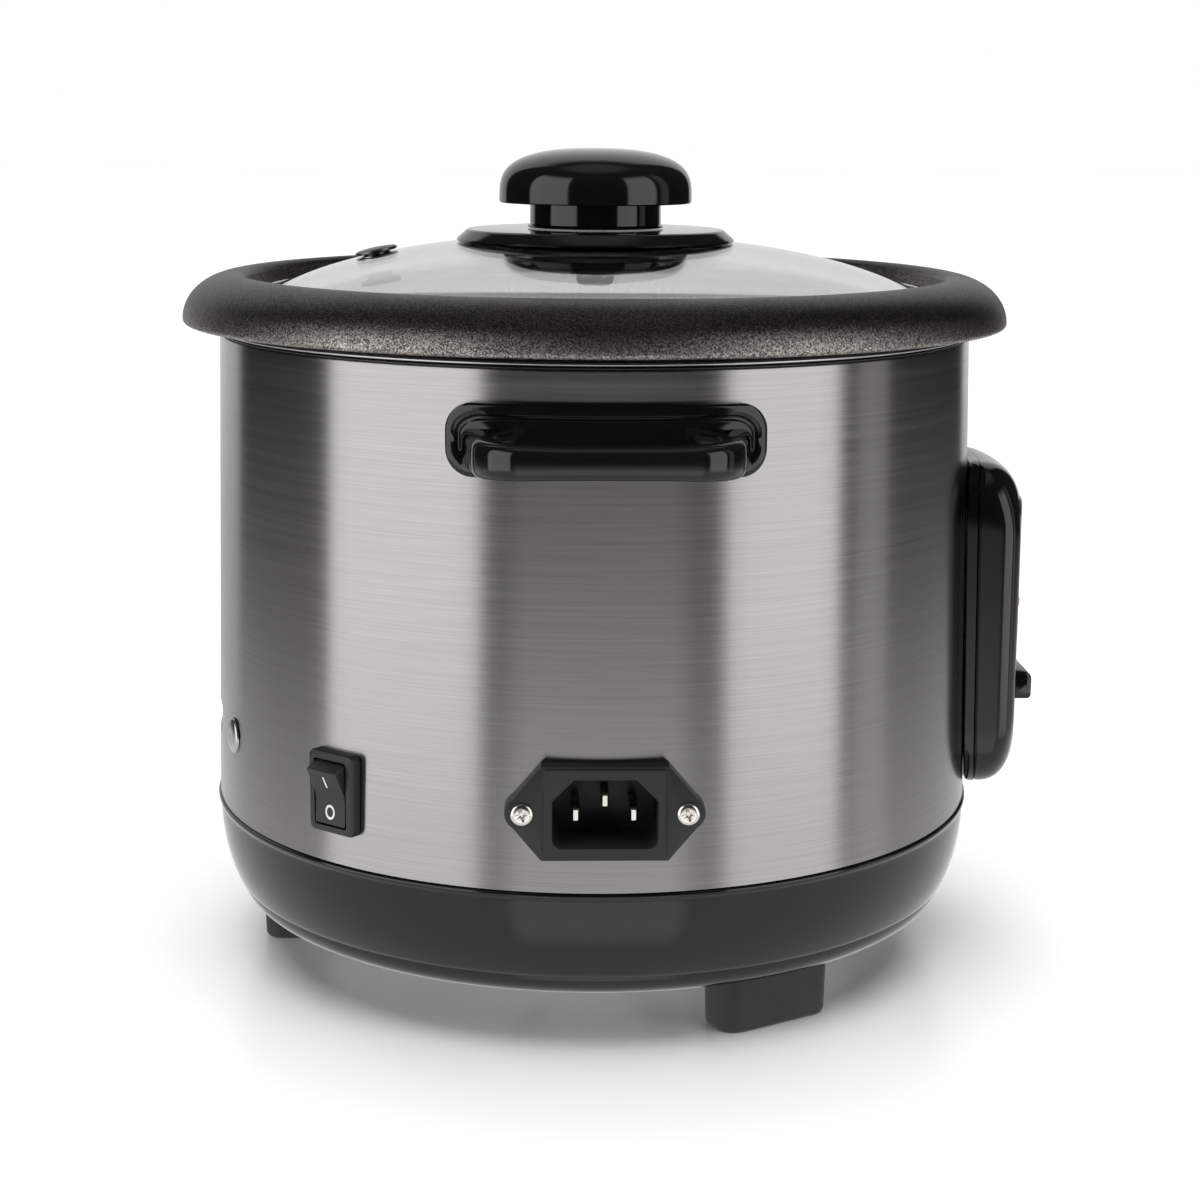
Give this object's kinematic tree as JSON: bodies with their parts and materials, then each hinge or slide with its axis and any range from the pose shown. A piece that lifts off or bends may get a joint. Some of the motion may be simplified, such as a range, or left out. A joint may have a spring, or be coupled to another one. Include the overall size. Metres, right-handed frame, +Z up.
{
  "type": "rice cooker",
  "caption": "Drum-shaped electric rice cooker with a brushed steel shell, coated hanging pot, domed glass lid, side handles, mains inlet, power rocker and cook lever.",
  "frame": {"origin": "on the floor plane, at the middle of the footprint box; the drum axis stands 5.70 mm behind it", "axes": "+Z up; -Y towards the front, where the control panel and cook lever are; the side handles lie on X, and the mains inlet is below the handle on the -X side"},
  "size_m": [0.2562, 0.2354, 0.2205],
  "materials": {
    "brushed_steel": "circumferentially brushed stainless steel",
    "plain_steel": "plain rolled steel",
    "cast_aluminium": "cast and skimmed aluminium",
    "non_stick": "charcoal non-stick coating with a fine metallic speckle",
    "gloss_black": "gloss black moulded phenolic",
    "satin_black": "fine textured black nylon",
    "rubber_black": "black rubber",
    "nickel": "nickel plate",
    "clear_glass": "clear tempered glass",
    "red_lens": "translucent red lens",
    "amber_lens": "translucent amber lens",
    "ferrite": "sintered ferrite",
    "brass": "drawn brass",
    "face_silver": "satin silver printed sheet",
    "ceramic": "glazed ceramic",
    "wire_brown": "brown insulated wire",
    "wire_blue": "blue insulated wire",
    "wire_green": "green and yellow insulated wire"
  },
  "bodies": {
    "body": {"outer_shell": "brushed_steel", "inner_liner": "plain_steel", "base_housing": "gloss_black", "bottom_cover": "plain_steel", "foot_back": "rubber_black", "foot_front_left": "rubber_black", "foot_front_right": "rubber_black", "foot_screw_back": "plain_steel", "foot_screw_front_left": "plain_steel", "foot_screw_front_right": "plain_steel", "heating_plate": "cast_aluminium", "heater_element": "plain_steel", "sensor_spring": "plain_steel", "sensor_bracket": "plain_steel", "lever_bracket": "plain_steel", "lever_pin": "plain_steel", "micro_switch": "satin_black", "thermal_fuse": "ceramic", "panel_base": "satin_black", "panel_cover": "gloss_black", "panel_face": "face_silver", "cook_light": "red_lens", "warm_light": "amber_lens", "handle_left": "gloss_black", "handle_right": "gloss_black", "handle_screw_left_front": "plain_steel", "handle_screw_left_rear": "plain_steel", "handle_screw_right_front": "plain_steel", "handle_screw_right_rear": "plain_steel", "inlet_housing": "satin_black", "inlet_pin_live": "nickel", "inlet_pin_earth": "nickel", "inlet_pin_neutral": "nickel", "inlet_screw_front": "nickel", "inlet_screw_rear": "nickel", "switch_frame": "satin_black", "holder_bracket": "plain_steel", "holder_rivet_right": "plain_steel", "holder_rivet_left": "plain_steel", "wire_neutral": "wire_blue", "wire_live": "wire_brown", "wire_switched": "wire_brown", "wire_earth": "wire_green"},
    "pot": {"inner_pot": "non_stick"},
    "lid": {"lid_glass": "clear_glass", "lid_rim_band": "brushed_steel", "vent_grommet": "nickel", "knob_cap": "gloss_black", "knob_neck": "gloss_black", "knob_flange": "gloss_black", "knob_washer": "rubber_black", "knob_screw": "plain_steel"},
    "sensor": {"sensor_cup": "cast_aluminium", "sensor_sleeve": "brass", "sensor_ferrite": "ferrite"},
    "magnet": {"magnet": "ferrite", "magnet_rod": "plain_steel"},
    "cook_lever": {"lever_arm": "plain_steel", "cook_button": "gloss_black"},
    "rocker": {"switch_rocker": "satin_black"}
  },
  "joints": [
    {"name": "pot_lift", "type": "slide", "parent": "body", "child": "pot", "axis": [0, 0, 1], "range_m": [0, 0.15]},
    {"name": "lid_lift", "type": "slide", "parent": "pot", "child": "lid", "axis": [0, 0, 1], "range_m": [0, 0.12]},
    {"name": "lever_turn", "type": "hinge", "parent": "body", "child": "cook_lever", "pos_m": [0, -0.04226, 0.0545], "axis": [1, 0, 0], "range_deg": [0, 5], "stiffness_Nm_per_rad": 0.3, "springref_deg": -5.73},
    {"name": "magnet_lift", "type": "slide", "parent": "body", "child": "magnet", "axis": [0, 0, 1], "range_m": [0, 0.00425]},
    {"name": "sensor_press", "type": "slide", "parent": "body", "child": "sensor", "axis": [0, 0, 1], "range_m": [-0.002, 0], "stiffness_N_per_m": 300, "springref_m": 0.003, "deforming": ["sensor_spring"]},
    {"name": "rocker_tilt", "type": "hinge", "parent": "body", "child": "rocker", "pos_m": [-0.08238, 0.07241, 0.0633], "axis": [0.6293, 0.7771, 0], "range_deg": [0, 24]}
  ],
  "couplings": [
    {"joint": "magnet_lift", "follows": "lever_turn", "m_per_rad": 0.04796}
  ]
}
